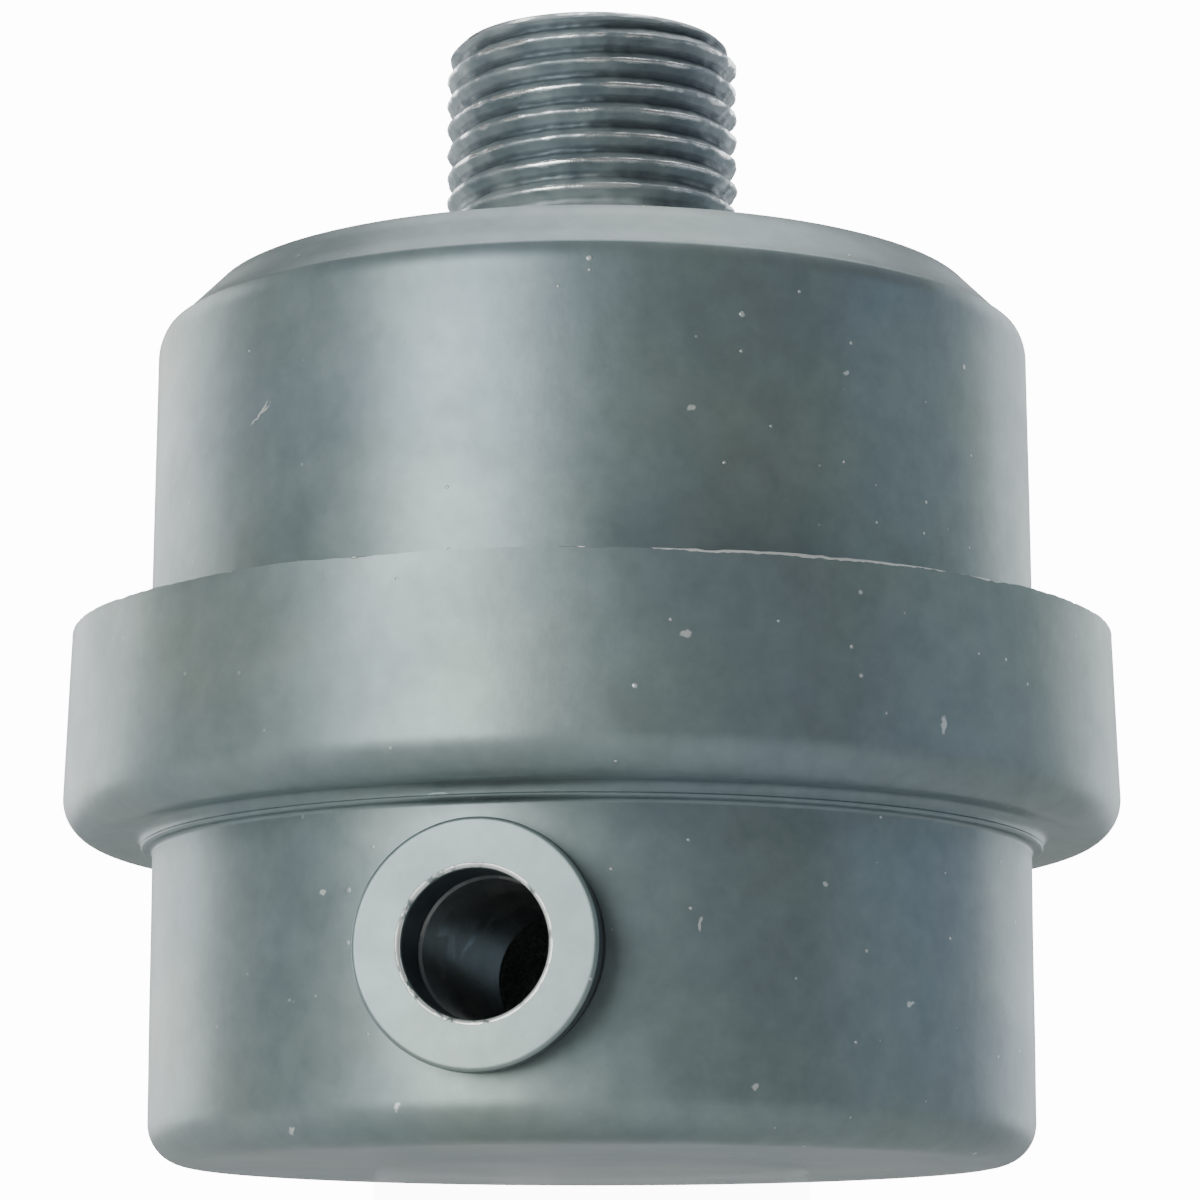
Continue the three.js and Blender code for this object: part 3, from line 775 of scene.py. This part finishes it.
def extruded(name, outlines, bottom, top):
    """Flat outlines, the first the outer one, given a thickness along Z."""
    curve = bpy.data.curves.new(name, "CURVE")
    curve.dimensions = "2D"
    curve.fill_mode = "BOTH"
    curve.extrude = (top - bottom) / 2 * MM
    for outline in outlines:
        spline = curve.splines.new("POLY")
        spline.points.add(len(outline) - 1)
        for target, (x, y) in zip(spline.points, outline):
            target.co = (x * MM, y * MM, 0, 1)
        spline.use_cyclic_u = True
    holder = bpy.data.objects.new(name + "_outline", curve)
    bpy.context.scene.collection.objects.link(holder)
    bpy.context.view_layer.update()
    filled = holder.evaluated_get(bpy.context.evaluated_depsgraph_get())
    data = bpy.data.meshes.new_from_object(filled)
    bpy.data.objects.remove(holder)
    mesh = bmesh.new()
    mesh.from_mesh(data)
    bmesh.ops.remove_doubles(mesh, verts=mesh.verts, dist=1e-6)
    bmesh.ops.translate(mesh, verts=mesh.verts, vec=(0, 0, (top + bottom) / 2 * MM))
    bmesh.ops.recalc_face_normals(mesh, faces=mesh.faces)
    return mesh_object(name, mesh)


def baffle_plate(zinc):
    """A flat disc with one hole in the middle and two rows round it."""
    hole, spacing = 1.6, 5
    outlines = [hole_circle(0, 0, BAFFLE_RADIUS, 192), hole_circle(0, 0, hole, 32)]
    for row in (1, 2):
        reach = spacing * row
        for i in range(6 * row):
            angle = math.tau * i / (6 * row)
            outlines.append(hole_circle(reach * math.cos(angle), reach * math.sin(angle), hole, 32))
    plate = extruded("baffle_plate_pierced", outlines, BAFFLE_BOTTOM, BAFFLE_TOP)
    return stand_in(plate, "baffle_plate", zinc)


# ---------------------------------------------------------------- cover

def upper_shell_line():
    """The outer surface of the cover, from its turned-out rim to the nipple's hole."""
    top = UPPER_RADIUS - UPPER_TAPER
    rim = [(RIM_FLANGE_RADIUS, RIM_FLANGE_Z)]
    fillet = arc(UPPER_RADIUS + RIM_FILLET, RIM_FLANGE_Z + RIM_FILLET, RIM_FILLET, -90, -180, 8)
    roll = arc(top - SHOULDER_RADIUS, CREASE[1] - SHOULDER_DROP, SHOULDER_RADIUS, 0, SHOULDER_TURN, 8)
    lip = [CREASE, (CREASE[0] - 0.12, CREASE[1] + 0.05)]
    inner = [CROWN_OUTER, CROWN_INNER, (LAND_RADIUS, LAND_Z), (THREAD_RADIUS + GAP, LAND_Z)]
    return rim + fillet + roll + lip + inner


def upper_shell(paint):
    """The drawn cover, very slightly out of round."""
    section = sheet_section(subdivided(upper_shell_line(), 1.5), SHEET)

    def warp(r, z, angle):
        return r - abs(0.05 * ripple(r, z, angle, 18.0, 11.0)), z

    shell = revolve("upper_shell_drawn", section, 384, warp)
    return stand_in(shell, "upper_shell", paint)


def joint_seal_ring(rubber):
    """A rubber ring that fills the channel, with two lips and a dip between them."""
    inner = UPPER_RADIUS + GAP
    lip = 0.9
    section = [(inner + RIM_FILLET, SEAL_BOTTOM), (SEAL_OUTER, SEAL_BOTTOM)]
    section += arc(SEAL_OUTER - lip, SEAL_TOP - lip, lip, 0, 90, 6)
    section += arc((inner + SEAL_OUTER) / 2, SEAL_TOP + 0.5, 1.0, -30, -150, 6)
    section += arc(inner + lip, SEAL_TOP - lip, lip, 90, 180, 6)
    section += [(inner, SEAL_BOTTOM + RIM_FILLET)]
    return stand_in(revolve("joint_seal_ring_moulded", section), "joint_seal_ring", rubber)


def smooth(low, high, value):
    """A smooth step from 0 to 1."""
    share = min(1.0, max(0.0, (value - low) / (high - low)))
    return share * share * (3 - 2 * share)


def thread_depth(phase):
    """How far the thread lies below its crest, from 0 to 1, at a share of a pitch up from a crest."""
    flank = (1 - abs(2 * phase - 1) - 0.10) / 0.74
    return min(1.0, max(0.0, flank))


def nipple_radius(angle, z, phase):
    """The nipple's outer radius, with a worn thread, run out at the root and chamfered at the end."""
    cut = smooth(THREAD_START_Z, THREAD_START_Z + THREAD_RUNOUT, z)
    dents = 0.10 * ripple(THREAD_RADIUS, z, angle, 1.7, 17.0)
    nicks = 0.08 * ripple(THREAD_RADIUS, z, angle, 0.6, 9.0)
    crest = THREAD_RADIUS - max(0.0, 0.07 + dents + nicks)
    threaded = crest - THREAD_SEEN_DEPTH * thread_depth(phase) * cut
    chamfer = THREAD_RADIUS - END_CHAMFER - 0.05 + max(0.0, NIPPLE_TOP - z)
    return min(threaded, chamfer)


def threaded_nipple(steel):
    """A helical grid whose rows are held between the root and the end, closed by turned rings."""
    sides, steps = 180, 14
    bottom = THREAD_START_Z - 0.3
    turns = math.ceil((NIPPLE_TOP - bottom) / THREAD_PITCH) + 1
    mesh = bmesh.new()
    crest_layer = mesh.verts.layers.float.new("crest")

    def thread_point(side, row):
        angle = math.tau * side / sides
        phase = (row % steps) / steps
        true_z = bottom - THREAD_PITCH + THREAD_PITCH * (row / steps + side / sides)
        z = min(NIPPLE_TOP, max(bottom, true_z))
        shift = (phase + (z - true_z) / THREAD_PITCH) % 1.0
        vertex = mesh.verts.new(polar(nipple_radius(angle, z, shift), angle, z))
        vertex[crest_layer] = 1 - thread_depth(shift)
        return vertex

    rows = turns * steps + steps
    grid = [[thread_point(side, row) for side in range(sides)] for row in range(rows + steps + 1)]
    for row in range(rows):
        for side in range(sides):
            wrap = side + 1 == sides
            low = grid[row + steps][0] if wrap else grid[row][side + 1]
            high = grid[row + steps + 1][0] if wrap else grid[row + 1][side + 1]
            mesh.faces.new([grid[row][side], low, high, grid[row + 1][side]])
    spare = [vertex for vertex in mesh.verts if not vertex.link_faces]
    bmesh.ops.delete(mesh, geom=spare, context="VERTS")
    close_nipple(mesh, sides, bottom, crest_layer)
    bmesh.ops.remove_doubles(mesh, verts=mesh.verts, dist=2e-6)
    bmesh.ops.dissolve_degenerate(mesh, edges=mesh.edges, dist=1e-7)
    bmesh.ops.recalc_face_normals(mesh, faces=mesh.faces)
    return stand_in(mesh_object("threaded_nipple_cut", mesh, 60), "threaded_nipple", steel)


def close_nipple(mesh, sides, bottom, crest_layer):
    """The end face, the bore, the inner flange and the plain root below the thread."""
    seat = LAND_Z - SHEET - GAP
    edge = 0.2
    flange = [(NIPPLE_BORE + 0.4, NIPPLE_TOP), (NIPPLE_BORE, NIPPLE_TOP - 0.4)]
    flange += [(NIPPLE_BORE, NIPPLE_BOTTOM + 0.3), (NIPPLE_BORE + 0.3, NIPPLE_BOTTOM)]
    flange += [(NIPPLE_FLANGE_RADIUS - edge, NIPPLE_BOTTOM), (NIPPLE_FLANGE_RADIUS, NIPPLE_BOTTOM + edge)]
    flange += [(NIPPLE_FLANGE_RADIUS, seat - edge), (NIPPLE_FLANGE_RADIUS - edge, seat)]
    flange += [(THREAD_RADIUS - 0.05, seat)]

    def circle(at_radius, z):
        made = []
        for side in range(sides):
            angle = math.tau * side / sides
            vertex = mesh.verts.new(polar(at_radius(angle), angle, z))
            vertex[crest_layer] = 0.8
            made.append(vertex)
        return made

    def end_radius(z):
        def radius(angle):
            phase = ((z - bottom) / THREAD_PITCH - angle / math.tau) % 1.0
            return nipple_radius(angle, z, phase)
        return radius

    rings = [circle(end_radius(NIPPLE_TOP), NIPPLE_TOP)]
    rings += [circle(lambda angle, r=r: r, z) for r, z in flange]
    rings += [circle(end_radius(bottom), bottom)]
    for low, high in zip(rings, rings[1:]):
        for side in range(sides):
            after = (side + 1) % sides
            mesh.faces.new([low[side], low[after], high[after], high[side]])


def nipple_weld_ring(paint):
    """A brazed fillet, a little uneven, under the paint."""
    inner = THREAD_RADIUS + GAP
    bead = WELD_RADIUS - inner
    section = [(inner, WELD_BOTTOM)] + arc(inner, WELD_BOTTOM, bead, 0, 90, 10)

    def warp(r, z, angle):
        lump = 0.22 * abs(ripple(r, z, angle, 2.2, 41.0))
        share = (r - inner) / bead
        return r - lump * share, z - lump * (z - WELD_BOTTOM) / bead

    return stand_in(revolve("nipple_braze", section, 192, warp), "nipple_weld_ring", paint)


def hold_down_spider(zinc):
    """A flat spring ring with three bent legs."""
    top = corner("hold_down_spider", True).z
    foot = corner("hold_down_spider", False).z
    width, bend, slope = 6.0, 1.0, 48
    toe, knee, hip = 21.0, 18.4, 13.7
    ankle = foot + SPIDER_SHEET
    leg = [(toe, ankle)] + arc(knee, ankle + bend, bend, -90, -90 - slope, 5)
    leg += arc(hip, top - bend, bend, 90 - slope, 90, 5) + [(NIPPLE_FLANGE_RADIUS - 1.5, top)]
    section = sheet_section(leg, SPIDER_SHEET)
    inner = NIPPLE_BORE + SPIDER_SHEET
    whole = ring("spider_ring", inner, NIPPLE_FLANGE_RADIUS, top - SPIDER_SHEET, top, 0.1, 128)
    upright = Matrix.Rotation(math.pi / 2, 4, "X")
    for bearing in (0, 120, 240):
        strip = extruded("spider_leg", [section], -width / 2, width / 2)
        strip.data.transform(Matrix.Rotation(math.radians(bearing + 90), 4, "Z") @ upright)
        boolean(whole, strip, "UNION")
    whole.data.shade_smooth()
    whole.data.set_sharp_from_angle(angle=math.radians(40))
    whole.name = "hold_down_spider_bent"
    return stand_in(whole, "hold_down_spider", zinc)


def upper_felt_liner(felt):
    """A hoop of felt inside the cover."""
    low, high = corner("upper_felt_liner", False), corner("upper_felt_liner", True)
    section = felt_strip(high.x, low.z, high.z, 1.0)

    def warp(r, z, angle):
        rough = felt_roughness(r, z, angle, 55.0)
        return (r + rough if r < high.x - 1 else r - rough), z

    return stand_in(revolve("upper_felt_liner_cut", section, 192, warp), "upper_felt_liner", felt)


# ---------------------------------------------------------------- filter cartridge

def element_seal_flange(polyurethane):
    """A soft ring with three grooves underneath and a lip round the foot of the paper."""
    inner = CORE_RADIUS - CORE_WALL - GAP
    top = PAPER_BOTTOM - GAP
    lip = PLEAT_OUTER + 0.5 + GAP
    edge, bend = 0.8, 0.6
    section = [(inner, FLANGE_BOTTOM + 0.3), (inner + 0.3, FLANGE_BOTTOM)]
    for groove in (28.0, 30.5, 33.0):
        section += [(groove - 0.6, FLANGE_BOTTOM)] + arc(groove, FLANGE_BOTTOM, 0.4, 180, 0, 6)
    section += arc(FLANGE_RADIUS - edge, FLANGE_BOTTOM + edge, edge, -90, 0, 5)
    section += arc(FLANGE_RADIUS - edge, top - edge, edge, 0, 90, 5)
    section += arc(lip + LIP_TOP - top, top + bend, bend, -90, -180, 4)
    section += arc(lip + bend, LIP_TOP - bend, bend, 20, 160, 6) + [(lip, top), (inner, top)]
    return stand_in(revolve("seal_flange_moulded", section), "element_seal_flange", polyurethane)


def element_inner_core(zinc):
    """A rolled tube with staggered round holes, cut by drills through it."""
    tube = ring("core_tube", CORE_RADIUS - CORE_WALL, CORE_RADIUS, PAPER_BOTTOM, PAPER_TOP, 0.1, 192)
    drills = bmesh.new()
    rows, bearings = 4, 4
    hole = 2.2 * MM
    length = (2 * CORE_RADIUS + 2) * MM
    across = Matrix.Rotation(math.pi / 2, 4, "X")
    for row in range(rows):
        z = PAPER_BOTTOM + (row + 0.5) * (PAPER_TOP - PAPER_BOTTOM) / rows
        for i in range(bearings):
            turn = math.pi * (i + (0.5 if row % 2 else 0.0)) / bearings
            place = Matrix.Translation((0, 0, z * MM)) @ Matrix.Rotation(turn, 4, "Z") @ across
            bmesh.ops.create_cone(drills, cap_ends=True, segments=28, radius1=hole, radius2=hole,
                                  depth=length, matrix=place)
    boolean(tube, mesh_object("core_drills", drills), "DIFFERENCE", use_self=True)
    tube.data.set_sharp_from_angle(angle=math.radians(40))
    tube.name = "inner_core_pierced"
    return stand_in(tube, "element_inner_core", zinc)


def pleat_line(shift):
    """The folded sheet's middle line at one height, each fold a small round, slightly uneven."""
    half = math.pi / PLEATS
    line = []
    for i in range(PLEATS):
        sway = 0.10 * half * ripple(PLEAT_OUTER, shift, 2 * half * i, 9.0, 61.0)
        peak = 2 * half * i + sway
        folds = ((PLEAT_OUTER, peak, 0.16, 0.25), (PLEAT_INNER, peak - sway + half, 0.18, -0.25))
        for radius, middle, spread, bulge in folds:
            for turn in (-1.0, -0.5, 0.0, 0.5, 1.0):
                angle = middle + turn * spread * half
                r = radius - bulge * turn * turn
                line.append((r * math.cos(angle), r * math.sin(angle)))
    return line


def element_pleated_paper(paper):
    """The folded sheet, closed at its top and bottom edges."""
    levels = 10
    mesh = bmesh.new()
    outer, inner = [], []
    for k in range(levels + 1):
        z = PAPER_BOTTOM + (PAPER_TOP - PAPER_BOTTOM) * k / levels
        line = pleat_line(z)
        for store, side in ((outer, -1), (inner, 1)):
            edge = offset_line(line, side * PAPER / 2, closed=True)
            store.append([mesh.verts.new((x * MM, y * MM, z * MM)) for x, y in edge])
    count = len(outer[0])
    for store, flip in ((outer, False), (inner, True)):
        for low, high in zip(store, store[1:]):
            for i in range(count):
                j = (i + 1) % count
                quad = [low[i], low[j], high[j], high[i]]
                mesh.faces.new(quad[::-1] if flip else quad)
    for level, flip in ((0, True), (levels, False)):
        for i in range(count):
            j = (i + 1) % count
            quad = [outer[level][i], outer[level][j], inner[level][j], inner[level][i]]
            mesh.faces.new(quad[::-1] if flip else quad)
    bmesh.ops.recalc_face_normals(mesh, faces=mesh.faces)
    return stand_in(mesh_object("pleated_paper_folded", mesh, 60), "element_pleated_paper", paper)


def element_potting_ring(resin):
    """A flat ring of cast resin between the paper and the cap."""
    piece = ring("potting_cast", CORE_RADIUS - CORE_WALL, POTTING_RADIUS, POTTING_BOTTOM, POTTING_TOP, 0.2)
    return stand_in(piece, "element_potting_ring", resin)


def element_top_cap(zinc):
    """A pressed cap with a dished centre and a turned-down rim."""
    bend, crease, dish = 1.0, 0.8, 1.2
    line = [(CAP_RADIUS, CAP_BOTTOM)] + arc(CAP_RADIUS - bend, CAP_TOP - bend, bend, 0, 90, 8)
    line += arc(13.2, CAP_TOP - crease, crease, 90, 135, 4)
    line += arc(11.0, CAP_TOP - dish + crease, crease, -45, -90, 4) + [(0, CAP_TOP - dish)]
    section = sheet_section(line, CAP_SHEET)
    return stand_in(revolve("top_cap_pressed", section), "element_top_cap", zinc)


# ---------------------------------------------------------------- studio

def camera():
    """Looks up at the canister from in front of it and just below its base."""
    distance, height, tilt, yaw = 0.300, -0.01513, 10.37, -0.106
    data = bpy.data.cameras.new("camera")
    data.sensor_width = 36.0
    data.lens = 129.5
    data.clip_start = 0.01
    view = bpy.data.objects.new("camera", data)
    view.location = (0, -distance, height)
    view.rotation_euler = (math.radians(90 + tilt), 0, math.radians(yaw))
    bpy.context.scene.collection.objects.link(view)
    bpy.context.scene.camera = view


def softbox(name, bearing, lift, distance, width, height, power, tint=(1, 1, 1)):
    """A soft rectangular light, its bearing in degrees to the right of the front."""
    data = bpy.data.lights.new(name, "AREA")
    data.shape = "RECTANGLE"
    data.size = width
    data.size_y = height
    data.energy = power
    data.color = tint
    lamp = bpy.data.objects.new(name, data)
    turn = math.radians(bearing)
    rise = math.radians(lift)
    target = Vector((0, 0, 0.04))
    offset = Vector((math.sin(turn) * math.cos(rise), -math.cos(turn) * math.cos(rise), math.sin(rise)))
    lamp.location = target + offset * distance
    lamp.rotation_euler = (-offset).to_track_quat("-Z", "Y").to_euler()
    lamp.visible_camera = False
    bpy.context.scene.collection.objects.link(lamp)


def plain_material(name, shade):
    """A dull, nearly even grey."""
    material, tree = new_material(name)
    shader = tree.nodes["Principled BSDF"]
    tone = between(tree, grain(tree, 40, 2.0), 0.3, 0.7, 0.98, 1.0)
    feed(tree, shader.inputs["Base Color"], mixed(tree, tone, colour(0, 0, 0), colour(shade, shade, shade)))
    shader.inputs["Roughness"].default_value = 0.9
    return material


def clear_acrylic():
    """Clear plastic, thinly tinted white, for the stand."""
    material, tree = new_material("clear_acrylic")
    shader = tree.nodes["Principled BSDF"]
    tone = between(tree, grain(tree, 30, 2.0), 0.3, 0.7, 0.94, 1.0)
    feed(tree, shader.inputs["Base Color"], mixed(tree, tone, colour(0, 0, 0), colour(0.95, 0.97, 0.97)))
    shader.inputs["Alpha"].default_value = 0.1
    shader.inputs["Roughness"].default_value = 0.15
    return material


def stage():
    """A pale floor well below the camera, a clear acrylic stand for the canister, and a pale surround."""
    drop = 50.0
    stand = ring("stand", 0, 15, -drop, -0.02, 0.4, 96)
    stand.data.materials.append(clear_acrylic())
    floor = bmesh.new()
    bmesh.ops.create_grid(floor, x_segments=1, y_segments=1, size=3.0)
    ground = mesh_object("floor", floor)
    ground.location.z = -drop * MM
    ground.data.materials.append(plain_material("floor_white", 0.6))
    world = bpy.data.worlds.new("surround")
    bpy.context.scene.world = world
    world.use_nodes = True
    tree = world.node_tree
    background = tree.nodes["Background"]
    seen = add(tree, "LightPath", output="Is Camera Ray")
    feed(tree, background.inputs["Color"], colour(1, 1, 1))
    feed(tree, background.inputs["Strength"], between(tree, seen, 0, 1, 0.085, 14.0))


def lights():
    """Soft light from the left, above, the right and behind."""
    softbox("key_left", -34, 3, 0.55, 0.30, 0.60, 3.9, (0.97, 1.0, 0.97))
    softbox("crown_top", 160, 72, 0.60, 0.60, 0.50, 2.3)
    softbox("fill_right", 88, 5, 0.80, 0.70, 0.60, 0.75, (0.70, 0.84, 1.0))
    softbox("back_left", -135, 8, 0.60, 0.50, 0.60, 2.7)
    softbox("back_right", 140, 8, 0.60, 0.45, 0.60, 2.0, (0.93, 0.97, 1.0))
    chamber_light()


def chamber_light():
    """A faint light in the lower chamber, so that the inlet's bore isn't black."""
    data = bpy.data.lights.new("chamber", "POINT")
    data.energy = 0.0001
    data.shadow_soft_size = 3 * MM
    data.color = (0.62, 0.85, 1.0)
    lamp = bpy.data.objects.new("chamber", data)
    lamp.location = (6 * MM, 8 * MM, INLET_Z * MM)
    bpy.context.scene.collection.objects.link(lamp)


# ---------------------------------------------------------------- assembly

def build():
    """Every piece, in its material and in the place of its CAD node."""
    paint = satin_paint("painted_shell")
    # painted light: the bush's paint is a lighter copy of the shell's, for its face that turns towards the
    # light
    lighter_bush_paint = satin_paint("painted_bush", 1.05)
    zinc = zinc_plate()
    rubber = black_rubber()
    felt = wool_felt()
    seal = moulded("seal_polyurethane", colour(0.42, 0.13, 0.04), colour(0.52, 0.19, 0.07), 0.5, 0.02)
    potting = moulded("potting", colour(0.62, 0.6, 0.52), colour(0.7, 0.68, 0.6), 0.4, 0.04)
    lower_shell(paint)
    inlet_bush(lighter_bush_paint)
    inlet_gasket(rubber)
    inlet_retaining_ring(zinc)
    inlet_tube(zinc)
    lower_felt_pad(felt)
    lower_felt_liner(felt)
    baffle_plate(zinc)
    upper_shell(paint)
    joint_seal_ring(rubber)
    threaded_nipple(nipple_steel())
    nipple_weld_ring(paint)
    hold_down_spider(zinc)
    upper_felt_liner(felt)
    element_seal_flange(seal)
    element_inner_core(zinc)
    element_pleated_paper(filter_paper())
    element_potting_ring(potting)
    element_top_cap(zinc)


camera()
stage()
lights()
build()


def corners(box):
    """A box as two plain lists of numbers."""
    return [list(map(float, point)) for point in box]
